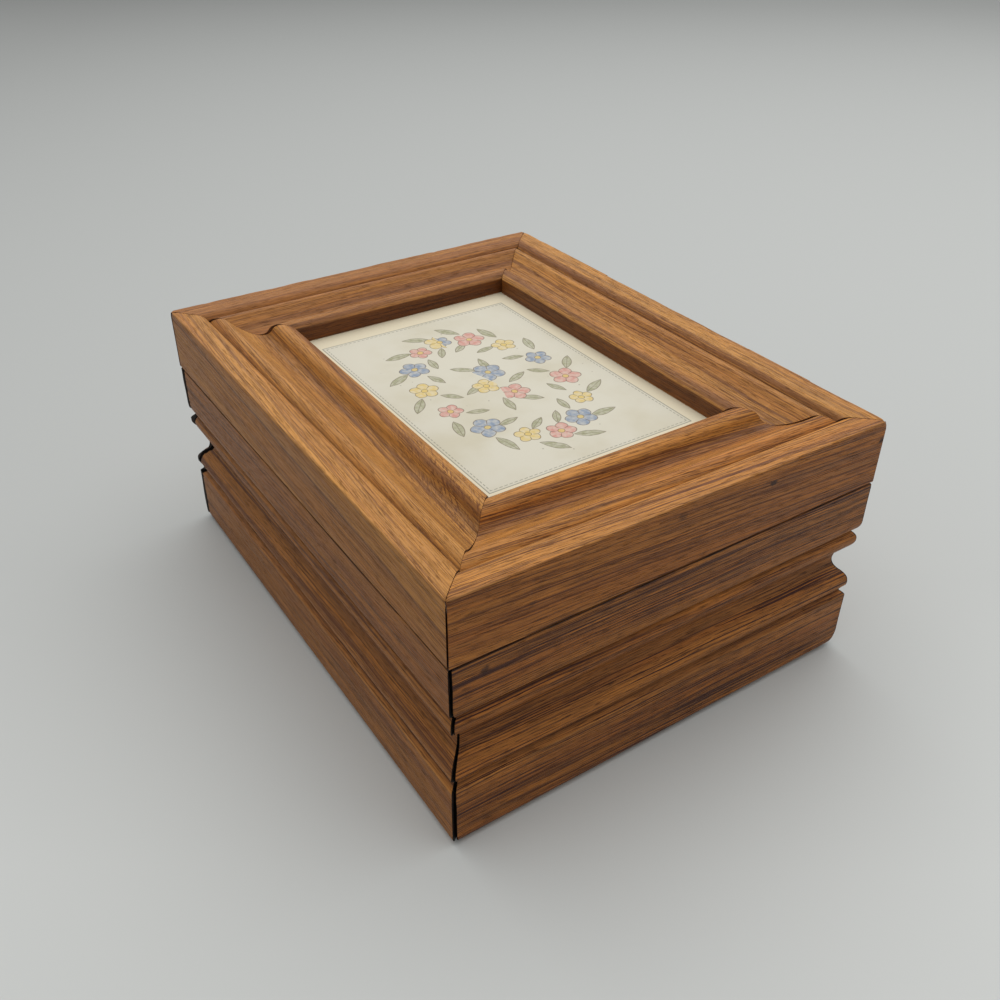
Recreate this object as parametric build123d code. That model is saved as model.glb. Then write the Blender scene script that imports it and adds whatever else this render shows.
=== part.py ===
from build123d import *
import os

# Trinket box with a hinged picture lid. The lid is a picture frame of moulding, and the four
# sides are taller moulding, mitred at the corners like a frame. Millimetres. X runs along the
# front to the right, Y to the back and Z up, from the middle of the underside, where it stands.

# Overall size of the woodwork
width = 178.0
depth = 142.0
box_height = 61.6
lid_gap = 0.4
lid_height = 20.2

# The left and right mouldings stand a little proud of where a true mitre would put them, as
# on a frame glued up by hand, so the profiles step past each other at every corner.
lid_corner_step = 0.65
box_corner_step = 0.9

# Lid moulding. Each pair is the distance in from the outer face and the drop below the top.
rail_width = 31.2
lid_band_end = (5.6, 0.3)
lid_band_lip = (9.4, 2.3)
lid_quirk = (9.7, 3.1)
lid_bead = (12.2, 0.6)
lid_bead_fall = (13.9, 1.4)
lid_cove = (20.6, 5.0)
lid_cove_rise = (24.6, 2.9)
lid_ridge = (28.3, 0.7)
lid_sight = (31.2, 2.3)
lid_top_arris = 0.4
lid_foot_arris = 1.2

# Picture recess behind the sight edge
card_drop = 7.6
recess_lip = 2.2
card_thickness = 1.6
backing_thickness = 3.0
lid_lining_thickness = 2.2
panel_clearance = 0.2

# Moulding of the sides. Each pair is the distance in from the outer face and the height.
side_thickness = 14.0
side_band_end = (0.0, 48.4)
side_upper_quirk = (2.2, 44.3)
side_bead = (0.5, 41.6)
side_bead_fall = (2.2, 38.3)
side_cove = (4.7, 33.7)
side_cove_rise = (2.7, 29.6)
side_ridge = (0.2, 26.0)
side_ridge_fall = (0.7, 23.6)
side_lower_quirk = (1.8, 21.8)
side_lower_band = (0.0, 20.4)
side_top_arris = 0.7
side_foot_arris = 3.2

# Open toe of the box's mitres: the joint is tight at the heel and open at the outer face.
toe_gap = 0.55
toe_gap_depth = 6.5

# Base
base_thickness = 4.5
base_rebate = 6.0
base_lining_thickness = 1.6

# Butt hinges on the back
hinge_length = 25.0
hinge_spacing = 96.0
leaf_width = 9.0
leaf_thickness = 1.0
leaf_gap = 0.2
leaf_corner = 1.0
barrel_radius = 1.6
barrel_stand_off = 0.3
knuckle_gap = 0.1
knuckle_clearance = 0.25
pin_radius = 0.8
pin_fit = 0.02
swing_fit = 0.06
mortise_clearance = 0.1

# Hinge screws
screw_head_radius = 1.9
screw_shank_radius = 0.9
screw_length = 8.0
screw_slot = 0.45
screw_spacing = 14.0
screw_clearance = 0.05

# Collated brads, of flat wire with a T head, and the corner wedges of the lid
brad_width = 1.2
brad_thickness = 1.0
brad_head_width = 2.2
brad_head_height = 0.5
brad_clearance = 0.05
long_edge_brad_count = 3
short_edge_brad_count = 2
base_brad_length = 13.0
base_brad_sink = 0.3
backing_brad_length = 12.0
backing_brad_bite = 6.0
corner_brad_length = 22.0
corner_brad_sink = 1.2
corner_brad_inset = 9.2
corner_brad_above_foot = 11.0
corner_brad_below_rim = 3.3
wedge_leg = 5.0
wedge_thickness = 0.5
wedge_height = 8.0
wedge_insets = (9.0, 21.0)
wedge_clearance = 0.05

# Levels and places that follow from the above
lid_foot = box_height + lid_gap
lid_top = lid_foot + lid_height
card_top = lid_top - card_drop
backing_top = card_top - card_thickness
brad_level = backing_top - backing_thickness - brad_thickness / 2
lid_lining_top = brad_level - brad_thickness / 2
recess_edge = rail_width - recess_lip
hinge_y = depth / 2 + barrel_stand_off + barrel_radius
hinge_z = box_height + lid_gap / 2
plate_back = barrel_radius + knuckle_clearance
screw_countersink = leaf_thickness
screw_y = -(leaf_width + barrel_radius + barrel_stand_off) / 2
overcut = 1.0

ACROSS = Rot(0, 90, 0)
FROM_BASE = (Align.CENTER, Align.CENTER, Align.MIN)
FROM_END = (Align.MIN, Align.CENTER, Align.MIN)


def flowing(points, heading):
    """Arcs from point to point, each leaving the way the one before it arrives."""
    curve = Curve()
    for start, finish in zip(points, points[1:]):
        arc = TangentArc(start, finish, tangent=heading)
        curve += arc
        heading = arc % 1
    return curve


def lid_section():
    """Section of the lid's moulding: x inward from the outer face, y up from its underside."""

    def at(point):
        return (point[0], lid_height - point[1])

    card_level = lid_height - card_drop
    outline = Polyline((0, 0), (0, lid_height), at(lid_band_end))
    slope = (lid_band_end[0], -lid_band_end[1])
    outline += flowing((at(lid_band_end), at(lid_band_lip)), slope)
    outline += Line(at(lid_band_lip), at(lid_quirk))
    beads = (lid_quirk, lid_bead, lid_bead_fall, lid_cove, lid_cove_rise, lid_ridge)
    beads += (lid_sight,)
    outline += flowing([at(point) for point in beads], (0, 1))
    outline += Polyline(
        at(lid_sight),
        (rail_width, card_level),
        (recess_edge, card_level),
        (recess_edge, 0),
        (0, 0),
    )
    section = make_face(outline)
    foot = section.vertices().sort_by_distance((0, 0))[:1]
    section = fillet(foot, lid_foot_arris)
    top = section.vertices().sort_by_distance((0, lid_height))[:1]
    return fillet(top, lid_top_arris)


def side_section():
    """Section of a side's moulding: x inward from the outer face, y up from the foot."""
    outline = Polyline(side_lower_band, (0, 0), (side_thickness - base_rebate, 0))
    outline += Polyline(
        (side_thickness - base_rebate, 0),
        (side_thickness - base_rebate, base_thickness),
        (side_thickness, base_thickness),
        (side_thickness, box_height),
        (0, box_height),
        side_band_end,
    )
    outline += flowing((side_band_end, side_upper_quirk), (0, -1))
    outline += flowing((side_bead, side_upper_quirk), (0, 1))
    beads = (side_bead, side_bead_fall, side_cove, side_cove_rise, side_ridge)
    beads += (side_ridge_fall, side_lower_quirk)
    outline += flowing(beads, (0, -1))
    outline += Line(side_lower_quirk, side_lower_band)
    section = make_face(outline)
    foot = section.vertices().sort_by_distance((0, 0))[:1]
    section = fillet(foot, side_foot_arris)
    top = section.vertices().sort_by_distance((0, box_height))[:1]
    return fillet(top, side_top_arris)


def mitred_length(section, level, height, half_run, reach, toe, gap=0.0):
    """Moulding along X, its outer face at y = -reach, mitred at both ends.

    The mitres run at 45 degrees from the toe points (-toe, -reach) and (toe, -reach). A gap
    draws each toe back, so that the outer part of the joint stands open."""
    start = Plane(origin=(-half_run, -reach, level), x_dir=(0, 1, 0), z_dir=(1, 0, 0))
    bar = extrude(start * section, 2 * half_run)
    right = [
        (toe - gap, -reach),
        (toe - toe_gap_depth, toe_gap_depth - reach),
        (0, toe - reach),
    ]
    left = [(-x, y) for x, y in right[1::-1]]
    plan = make_face(Polyline(*right, *left, close=True))
    return bar & (Pos(0, 0, level) * extrude(plan, height))


def four_mouldings(section, level, height, step, gap=0.0):
    """Front, back, left and right lengths of one moulding round the box's outline."""
    toe = width / 2 - step
    front = mitred_length(section, level, height, toe, depth / 2, toe, gap)
    side = mitred_length(section, level, height, depth / 2, width / 2, depth / 2 + step, gap)
    return {
        "front": front,
        "back": Rot(0, 0, 180) * front,
        "left": Rot(0, 0, -90) * side,
        "right": Rot(0, 0, 90) * side,
    }


def screw(clearance=0.0):
    """Countersunk wood screw, head level with z = 0 and pointing down."""
    shank = screw_shank_radius + clearance
    outline = Polyline(
        (0, 0),
        (screw_head_radius + clearance, 0),
        (shank, -screw_countersink),
        (shank, -screw_length - clearance),
        (0, -screw_length - clearance),
        close=True,
    )
    return revolve(Plane.XZ * make_face(outline), Axis.Z)


def slotted_screw():
    """The screw with its driving slot."""
    slot = Box(2 * screw_head_radius, screw_slot, screw_slot)
    return screw() - Pos(0, 0, -screw_slot / 2) * slot


def leaf(knuckles, bore, upright):
    """One hinge leaf with its knuckles round the X axis; the plate reaches to -Y.

    Knuckles are (start, finish) stretches along the hinge. The upper leaf lies above the
    axis and the lower one below it."""
    level = (leaf_gap + leaf_thickness) / 2 * upright
    plate = Box(hinge_length, leaf_width - plate_back, leaf_thickness)
    corners = plate.edges().filter_by(Axis.Z).group_by(Axis.Y)[0]
    plate = fillet(corners, leaf_corner)
    body = Pos(0, -(leaf_width + plate_back) / 2, level) * plate
    for start, finish in knuckles:
        middle = (start + finish - hinge_length) / 2
        tab = Box(finish - start, plate_back, leaf_thickness)
        body += Pos(middle, -plate_back / 2, level) * tab
        body += Pos(middle, 0, 0) * ACROSS * Cylinder(barrel_radius, finish - start)
    body -= ACROSS * Cylinder(bore, hinge_length + overcut)
    face = Pos(0, 0, upright * leaf_gap / 2) * Rot(90 + 90 * upright, 0, 0)
    for place in screw_places():
        body -= place * face * screw(screw_clearance)
    return body


def screw_places():
    """Where a hinge's two screws pass its leaves, from the middle of its axis."""
    return [Pos(side * screw_spacing / 2, screw_y, 0) for side in (-1, 1)]


def hinge_parts():
    """Lower leaf, upper leaf and pin of one hinge, its axis along X through the origin."""
    third = hinge_length / 3
    half_gap = knuckle_gap / 2
    outer = [(0, third - half_gap), (hinge_length - third + half_gap, hinge_length)]
    inner = [(third + half_gap, hinge_length - third - half_gap)]
    lower = leaf(outer, pin_radius + pin_fit, -1)
    upper = leaf(inner, pin_radius + swing_fit, 1)
    return lower, upper, ACROSS * Cylinder(pin_radius, hinge_length)


def mortise(upright):
    """Recess in the wood for one leaf, open at the back and at the parting plane."""
    length = hinge_length + 2 * mortise_clearance
    reach = leaf_width + mortise_clearance
    level = leaf_gap / 2 + leaf_thickness + mortise_clearance / 2
    return Pos(0, -reach / 2, upright * level / 2) * Box(length, reach, level)


def brad(length, clearance=0.0):
    """Flat wire brad from z = 0 upward, its width along X."""
    long_way = brad_width + 2 * clearance
    short_way = brad_thickness + 2 * clearance
    return Box(long_way, short_way, length + clearance, align=FROM_BASE)


def headed_brad(length, clearance=0.0):
    """The brad with its T head at z = 0."""
    long_way = brad_head_width + 2 * clearance
    short_way = brad_thickness + 2 * clearance
    return brad(length, clearance) + Box(long_way, short_way, brad_head_height, align=FROM_BASE)


def spread(half_length, count):
    """Even places along an edge, in from its ends by half a step."""
    step = 2 * half_length / count
    return [(index + 0.5) * step - half_length for index in range(count)]


def base_brad_places():
    """Brads through the base panel into the rebate of each side."""
    x_line = width / 2 - side_thickness + base_rebate / 2
    y_line = depth / 2 - side_thickness + base_rebate / 2
    places = [Pos(x, y, base_brad_sink)
              for x in spread(x_line, long_edge_brad_count) for y in (-y_line, y_line)]
    places += [Pos(x, y, base_brad_sink)
               for x in (-x_line, x_line) for y in spread(y_line, short_edge_brad_count)]
    return places


def backing_brad_places():
    """Brads lying under the picture's backing, half their length driven into the rails."""
    x_line = width / 2 - recess_edge + backing_brad_bite
    y_line = depth / 2 - recess_edge + backing_brad_bite
    along_x = spread(width / 2 - recess_edge, long_edge_brad_count)
    along_y = spread(depth / 2 - recess_edge, short_edge_brad_count)
    places = [Pos(x, side * y_line, brad_level) * Rot(90 * side, 0, 0)
              for side in (-1, 1) for x in along_x]
    places += [Pos(side * x_line, y, brad_level) * Rot(0, 0, 90 * side) * Rot(-90, 0, 0)
               for side in (-1, 1) for y in along_y]
    return places


def corner_brad_places():
    """Brads through the left and right sides into the ends of the front and back ones."""
    x_start = width / 2 - corner_brad_sink
    y_line = depth / 2 - corner_brad_inset
    heights = (corner_brad_above_foot, box_height - corner_brad_below_rim)
    return [Pos(side * x_start, end * y_line, height) * Rot(0, -90 * side, 0)
            for side in (-1, 1) for end in (-1, 1) for height in heights]


def wedge(clearance=0.0):
    """Folded steel wedge that ties a mitre: a V in plan, its fold at the origin."""
    half = wedge_thickness / 2 + clearance
    length = wedge_leg + clearance
    leg = Box(length + half, 2 * half, wedge_height + clearance, align=FROM_END)
    leg = Pos(-half, -half, 0) * leg
    return Rot(0, 0, 45) * leg + Rot(0, 0, -45) * leg


def wedge_places():
    """Wedges up into each mitre of the lid from underneath, folds on the joint."""
    places = []
    for side in (-1, 1):
        for end in (-1, 1):
            turn = 0 if side < 0 else 180
            for inset in wedge_insets:
                x = side * (width / 2 - lid_corner_step - inset)
                y = end * (depth / 2 - inset)
                lean = 45 * end * side
                places.append(Pos(x, y, lid_foot) * Rot(0, 0, turn - lean))
    return places


def group(shape, places):
    """The same piece at each place, as separate solids of one compound."""
    return Compound(children=[place * shape for place in places])


def cut(shape, tool, places):
    """The shape with the tool taken out at each place that reaches it."""
    bounds = shape.bounding_box()
    for place in places:
        placed = place * tool
        if placed.bounding_box().overlaps(bounds):
            shape -= placed
    return shape


def panel(half_x, half_y, top, thickness):
    """Flat rectangular panel centred on the box, by its half sizes and its upper face."""
    return Pos(0, 0, top - thickness / 2) * Box(2 * half_x, 2 * half_y, thickness)


def main():
    hinges = [Pos(side * hinge_spacing / 2, hinge_y, hinge_z) for side in (-1, 1)]
    screws = [hinge * place for hinge in hinges for place in screw_places()]
    low_screws = [place * Pos(0, 0, -leaf_gap / 2) for place in screws]
    high_screws = [place * Pos(0, 0, leaf_gap / 2) * Rot(180, 0, 0) for place in screws]

    parts = {}
    lid_rails = four_mouldings(lid_section(), lid_foot, lid_height, lid_corner_step)
    for name, rail in lid_rails.items():
        rail = cut(rail, brad(backing_brad_length, brad_clearance), backing_brad_places())
        rail = cut(rail, wedge(wedge_clearance), wedge_places())
        rail = cut(rail, mortise(1), hinges)
        rail = cut(rail, screw(screw_clearance), high_screws)
        parts[f"lid_{name}_rail"] = rail

    sides = four_mouldings(side_section(), 0, box_height, box_corner_step, toe_gap)
    for name, side in sides.items():
        side = cut(side, headed_brad(base_brad_length, brad_clearance), base_brad_places())
        side = cut(side, brad(corner_brad_length, brad_clearance), corner_brad_places())
        side = cut(side, mortise(-1), hinges)
        side = cut(side, screw(screw_clearance), low_screws)
        parts[f"box_{name}_side"] = side

    recess_x = width / 2 - recess_edge - panel_clearance
    recess_y = depth / 2 - recess_edge - panel_clearance
    parts["picture_card"] = panel(recess_x, recess_y, card_top, card_thickness)
    parts["picture_backing"] = panel(recess_x, recess_y, backing_top, backing_thickness)
    parts["lid_lining"] = panel(recess_x, recess_y, lid_lining_top, lid_lining_thickness)
    parts["backing_brads"] = group(brad(backing_brad_length), backing_brad_places())
    parts["lid_corner_wedges"] = group(wedge(), wedge_places())

    inner_x = width / 2 - side_thickness
    inner_y = depth / 2 - side_thickness
    edge = base_rebate - panel_clearance
    base = panel(inner_x + edge, inner_y + edge, base_thickness, base_thickness)
    hole = headed_brad(base_brad_length, brad_clearance)
    parts["base_panel"] = cut(base, hole, base_brad_places())
    parts["base_lining"] = panel(
        inner_x - panel_clearance,
        inner_y - panel_clearance,
        base_thickness + base_lining_thickness,
        base_lining_thickness,
    )
    parts["base_brads"] = group(headed_brad(base_brad_length), base_brad_places())
    parts["corner_brads"] = group(brad(corner_brad_length), corner_brad_places())

    lower, upper, pin = hinge_parts()
    for name, hinge in zip(("left", "right"), hinges):
        parts[f"{name}_hinge_box_leaf"] = hinge * lower
        parts[f"{name}_hinge_lid_leaf"] = hinge * upper
        parts[f"{name}_hinge_pin"] = hinge * pin
    parts["box_hinge_screws"] = group(slotted_screw(), low_screws)
    parts["lid_hinge_screws"] = group(slotted_screw(), high_screws)

    os.makedirs("parts", exist_ok=True)
    for name, shape in parts.items():
        export_step(shape, f"parts/{name}.step")


main()
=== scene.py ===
# %% [markdown]
# # A trinket box made of picture frame moulding
#
# The box in this lesson is joinery: four tall lengths of moulding are mitred into the body,
# four shorter ones into a picture frame that is the lid, and two small brass hinges join them.
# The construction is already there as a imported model. This notebook dresses it: it builds
# finer surfaces for the mouldings, the card and the linings, and gives everything its finish.

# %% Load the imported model
import bpy
import collections
import math
import numpy as np
from mathutils import Matrix, Vector


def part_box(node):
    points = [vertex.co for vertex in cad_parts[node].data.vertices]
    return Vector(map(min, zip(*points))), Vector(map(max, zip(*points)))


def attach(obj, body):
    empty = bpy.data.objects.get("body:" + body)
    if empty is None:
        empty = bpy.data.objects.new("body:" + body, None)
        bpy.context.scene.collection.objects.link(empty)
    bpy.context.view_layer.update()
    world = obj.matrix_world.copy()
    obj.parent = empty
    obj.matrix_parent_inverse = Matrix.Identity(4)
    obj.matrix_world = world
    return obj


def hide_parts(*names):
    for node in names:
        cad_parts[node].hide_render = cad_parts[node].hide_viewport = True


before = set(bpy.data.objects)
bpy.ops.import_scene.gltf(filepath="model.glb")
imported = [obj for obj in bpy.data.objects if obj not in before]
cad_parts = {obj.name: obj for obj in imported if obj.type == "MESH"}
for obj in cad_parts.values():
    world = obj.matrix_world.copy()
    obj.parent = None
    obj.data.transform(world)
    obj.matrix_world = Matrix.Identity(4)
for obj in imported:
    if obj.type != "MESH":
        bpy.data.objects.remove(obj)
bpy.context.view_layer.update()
MM = 0.001

low, high = (np.array(corner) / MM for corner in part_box("lid_left_rail"))
half_depth = high[1]
half_width = -low[0]
lid_foot, lid_top = low[2], high[2]
box_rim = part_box("box_left_side")[1][2] / MM
card_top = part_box("picture_card")[1][2] / MM
print("box", 2 * half_width, "x", 2 * half_depth, "mm, lid from", lid_foot, "to", lid_top)

# %% [markdown]
# Every surface here is worked out in millimetres with numpy and handed to Blender in metres.
# One helper does the handing over. It takes whole arrays of points and faces, so that no loop
# has to visit the points one by one.

# %% From arrays to a mesh object
def mesh_object(name, points, faces, smooth_angle=35.0):
    """Mesh object from points in mm and lists of corner numbers.

    Edges that turn more than smooth_angle degrees stay sharp, and the rest shade smoothly."""
    mesh = bpy.data.meshes.new(name)
    mesh.from_pydata((np.asarray(points) * MM).tolist(), [], faces)
    mesh.polygons.foreach_set("use_smooth", np.ones(len(mesh.polygons), bool))
    mesh.set_sharp_from_angle(angle=math.radians(smooth_angle))
    mesh.update()
    made = bpy.data.objects.new(name, mesh)
    bpy.context.scene.collection.objects.link(made)
    return made


def grid_faces(rows, columns, closed_columns=False):
    """Quads of a rows x columns grid of points, numbered row by row."""
    row, column = np.meshgrid(
        np.arange(rows - 1), np.arange(columns if closed_columns else columns - 1), indexing="ij"
    )
    beside = (column + 1) % columns
    quads = (row * columns + column, (row + 1) * columns + column,
             (row + 1) * columns + beside, row * columns + beside)
    return np.stack(quads, -1).reshape(-1, 4)


def give_value(thing, name, values, per="POINT"):
    """Stores one number per point, or per face corner, for the material to read."""
    layer = thing.data.attributes.new(name, "FLOAT", per)
    layer.data.foreach_set("value", np.asarray(values, np.float32).ravel())


# %% [markdown]
# ## The moulding's section
#
# A moulding is drawn once as a section: beads, coves and the narrow quirks between them. A
# cutter shapes them as arcs that run smoothly into each other, so the drawing is a chain of
# tangent arcs: each arc leaves in the direction in which the last one arrived. Each point is
# (distance in from the outer face, height), in millimetres.

# %% Tangent arcs
def arc(start, finish, heading, count=40):
    """Points on the arc from start to finish that leaves along the unit vector heading.

    With the chord c and the normal n of the heading, the radius is c.c / (2 n.c), and the point
    at angle a is start + radius (sin a heading + (1 - cos a) n)."""
    chord = np.subtract(finish, start)
    normal = np.array([-heading[1], heading[0]])
    radius = chord @ chord / (2 * normal @ chord)
    turn = 2 * math.atan2(normal @ chord, heading @ chord)
    angle = np.linspace(0, turn, count)[:, None]
    points = np.add(start, radius * (np.sin(angle) * heading + (1 - np.cos(angle)) * normal))
    return points, math.cos(turn) * heading + math.sin(turn) * normal


def flowing(points, heading):
    """The chain of arcs through the points, as one array."""
    heading = np.array(heading, float) / np.linalg.norm(heading)
    chain = []
    for start, finish in zip(points, points[1:]):
        piece, heading = arc(start, finish, heading)
        chain.append(piece)
    return np.concatenate(chain)


# %% Section of the lid's rails
rail_width = 31.2
lid_height = lid_top - lid_foot
card_level = card_top - lid_foot
recess_lip = 2.2


def below_top(points):
    """Points given by their drop below the lid's top, as heights above the lid's foot."""
    return [(inward, lid_height - drop) for inward, drop in points]


lid_band = below_top([(6.4, 0.3), (9.1, 2.0)])
lid_beads = below_top([(9.5, 2.6), (12.3, 0.8), (14.0, 1.3), (17.6, 4.1), (21.0, 5.3),
                       (24.7, 3.1), (28.3, 0.8), (31.2, 2.6)])
lid_foot_arris, lid_top_arris = 0.25, 0.3

lid_section = np.concatenate([
    arc((lid_foot_arris, 0), (0, lid_foot_arris), np.array([-1.0, 0.0]))[0],
    arc((0, lid_height - lid_top_arris), (lid_top_arris, lid_height), np.array([0.0, 1.0]))[0],
    flowing(lid_band, (6.4, -0.3)),
    flowing(lid_beads, (0.6, 0.8)),
    [(rail_width, card_level), (rail_width - recess_lip, card_level),
     (rail_width - recess_lip, 0)],
])
print("lid section:", len(lid_section), "points")

# %% Section of the box's sides
side_thickness = 14.0
base_thickness = 4.5
base_rebate = 6.0
side_foot_arris, side_top_arris = 3.2, 0.2
side_band = [(0.0, 48.4), (2.2, 44.3)]
side_bead_top = [(0.5, 41.6), (2.2, 44.3)]
side_beads = [(0.5, 41.6), (2.2, 38.3), (4.7, 33.7), (2.7, 29.6), (0.2, 26.0),
              (0.7, 23.6), (1.8, 21.8)]
side_lower_band = (0.0, 20.4)

side_section = np.concatenate([
    flowing(side_beads[:2], (0, -1))[:1],
    flowing(side_bead_top, (0, 1)),
    flowing(side_band, (0, -1))[::-1],
    arc((0, box_rim - side_top_arris), (side_top_arris, box_rim), np.array([0.0, 1.0]))[0],
    [(side_thickness, box_rim), (side_thickness, base_thickness),
     (side_thickness - base_rebate, base_thickness), (side_thickness - base_rebate, 0)],
    arc((side_foot_arris, 0), (0, side_foot_arris), np.array([-1.0, 0.0]))[0],
    [side_lower_band],
    flowing(side_beads, (0, -1))[::-1],
])
print("side section:", len(side_section), "points")

# %% [markdown]
# No arris on a handled box stays sharp. Sanding and use round every edge by a few tenths of a
# millimetre, and varnish and dust fill the narrow quirks. Both follow from one step: the
# outline is blurred along itself. The blur takes off the corners, and how strongly the line
# still bends at each point tells the material where the edges and the grooves are. The hollows
# it finds are painted darker, as dust and as painted shade.

# %% Wear
fine = 0.08


def worn(section, wear=0.14, hollow_reach=1.6):
    """The section as an even, closed outline blurred over wear mm, its bend and its hollows.

    The outline is read as complex numbers, so a Fourier transform blurs it in one step. Bend is
    the turn per mm, positive on an arris. Hollow is how far, in mm, the surface lies below its
    own broader blur."""
    corners = section[np.r_[True, np.linalg.norm(np.diff(section, axis=0), axis=1) > 1e-6]]
    corners = np.concatenate([corners, corners[:1]])
    along = np.r_[0, np.cumsum(np.linalg.norm(np.diff(corners, axis=0), axis=1))]
    count = int(along[-1] / fine)
    place = np.linspace(0, along[-1], count, endpoint=False)
    line = np.interp(place, along, corners[:, 0]) + 1j * np.interp(place, along, corners[:, 1])
    waves, frequency = np.fft.fft(line), np.fft.fftfreq(count, fine)

    def blurred_over(reach):
        """The line, with each frequency f shrunk by exp(-2 (pi reach f)^2)."""
        return np.fft.ifft(waves * np.exp(-2 * (np.pi * reach * frequency) ** 2))

    blurred, soft, broad = map(blurred_over, (wear, 2.0 * wear, hollow_reach))
    ahead = np.roll(soft, -1) - soft
    bend = -np.angle(ahead / np.roll(ahead, 1)) / fine
    outward = 1j * ahead / np.abs(ahead)
    hollow = np.real((broad - blurred) * np.conj(outward))
    return blurred, bend, hollow


def thinned(bend, flat_step=1.1, bent_step=0.22):
    """Which points to keep: close together where the outline bends, wide apart where flat."""
    straight = 1 / (1 + 2.5 * np.abs(bend))
    step = bent_step + (flat_step - bent_step) * straight ** 3
    so_far = np.cumsum(fine / step)
    return np.searchsorted(so_far, np.linspace(0, so_far[-1], int(so_far[-1]), endpoint=False))


def finished_section(section):
    """Places, outward normals, bend, hollows and girth of the worn section, thinned out.

    Girth is the distance along the outline. Its last value closes the round."""
    outline, bend, hollow = worn(section)
    picks = thinned(bend)
    ahead = np.roll(outline, -1) - np.roll(outline, 1)
    normal = 1j * ahead / np.abs(ahead)
    girth = fine * np.r_[picks, picks[0] + len(outline)]
    return outline[picks], normal[picks], bend[picks], hollow[picks], girth


lid_outline = finished_section(lid_section)
side_outline = finished_section(side_section)
print("worn outlines:", len(lid_outline[0]), "and", len(side_outline[0]), "points")

# %% [markdown]
# ## Lengths with mitred ends
#
# A length of moulding is its section carried along a straight line. A saw then cuts each end
# at 45 degrees, so a point of the section that lies further in from the outer face stops
# sooner. The whole length is one formula on a grid: the row says how far along, the column
# says which point of the section, and the mitre gives each column its own end.

# %% Stations along a length
hinge_boxes = [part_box(f"{side}_hinge_box_leaf") for side in ("left", "right")]
hinge_ends = np.array([[lowest[0], highest[0]] for lowest, highest in hinge_boxes]) / MM
mortise_clearance = 0.1
leaf_depth = half_depth - hinge_boxes[0][0][1] / MM + mortise_clearance
leaf_rise = 1.15
row_step, close_reach = 0.8, 5.0


def stations(half_length, breaks=()):
    """Places along a length from one end to the other: row_step apart, closer near the mitres.

    Each break is a place where the section changes, and gets two rows."""
    near_end = np.geomspace(0.05, close_reach, 16)
    inner = half_length - close_reach - row_step
    middle = np.linspace(-inner, inner, int(2 * inner / row_step))
    ends = half_length - np.r_[0, near_end]
    return np.sort(np.concatenate([-ends, ends, middle, breaks, breaks]))


print("hinge leaves are let in", leaf_depth, "mm at", hinge_ends.tolist())


def stretched_to_mitre(place, half_length, end, unmoved=62.0, least=6.0):
    """Moves the outer stations so that the last one lands on each column's own end.

    Up to unmoved mm from the middle, or to least mm before the end, nothing moves. Beyond that
    the rest of the way is shared out evenly."""
    steady = np.minimum(unmoved, end - least)
    size = np.abs(place)
    beyond = steady + (size - steady) * (end - steady) / (half_length - steady)
    return np.sign(place) * np.where(size < steady, size, beyond)


# %% [markdown]
# No two corners of a handmade box are alike. Here each end of each length has its own numbers:
# how far its toe reaches, how wide its mitre stands open, how far old glue and dirt have crept
# in from the cut, how round the foot is worn, and how lumpy the glued end is.

# %% The end of a length
Mitre = collections.namedtuple("Mitre", "toe gap dark worn_foot ragged foot_gap lumpy",
                               defaults=(0.0, 0.3, 0.0, 0.3, 0.0, 0.0))
gap_depth = 6.5


def mitre_line(inward, height, mitre, half_length):
    """How far each point of the section reaches: toe - inward, less the gap and the worn foot.

    The gap closes evenly over gap_depth, and is wider by foot_gap at the foot. The foot is worn
    to a quarter circle."""
    gap = mitre.gap + mitre.foot_gap * (1 - height / height.max())
    gap = gap * np.clip(1 - inward / gap_depth, 0, 1)
    low = np.clip(mitre.worn_foot - height, 0, mitre.worn_foot)
    foot = mitre.worn_foot - np.sqrt(mitre.worn_foot ** 2 - low ** 2)
    return np.minimum(mitre.toe - inward - gap, half_length) - foot * (inward < gap_depth)


seeded = np.random.default_rng(20)


def smooth_noise(count, softness):
    """Random numbers between 0 and 1, blurred over softness places along a closed line."""
    waves = np.fft.rfft(seeded.random(count))
    waves[1:] *= np.exp(-((np.arange(1, len(waves)) * softness / count) ** 2) * 20)
    soft = np.fft.irfft(waves, count)
    return (soft - soft.min()) / (soft.max() - soft.min())


# %% [markdown]
# ## Knocks
#
# The upper outer edge of a lid collects the small dents of years on a table. They could be
# sculpted by hand, or cut with small solids. Here each knock is a bell curve that draws the points
# near the edge inwards, because a formula gives the same dents each time the script runs.

# %% Knocks along the top arris
def knocks(place, line, nicks, corner_height, wear=0.3, spread_in=0.55):
    """How deep the outer top arris is worn at each place, in mm.

    Everywhere a little, as slow and quick noise, and more at each nick: depth times
    exp(-(distance / width)^2), fading within a millimetre of the arris."""
    near = np.exp(-(np.abs(line - 1j * corner_height) / spread_in) ** 2)
    slow, quick = smooth_noise(len(place), 5) ** 2, smooth_noise(len(place), 1.5) ** 3
    depth = wear * (slow + 0.6 * quick)
    for middle, size, width in nicks:
        depth = depth + size * np.exp(-((place - middle) / width) ** 2)
    return depth[:, None] * near[None, :]


# %% [markdown]
# ## One length of moulding
#
# Each side of a picture frame is a stick of moulding sawn at 45 degrees at both ends. A profile
# drawn out and cut by two planes would give the plain shape, but not the open joints and the worn
# corner. So the section is repeated at many stations, and each of its points slides along to the
# place where its own mitre ends.

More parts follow.
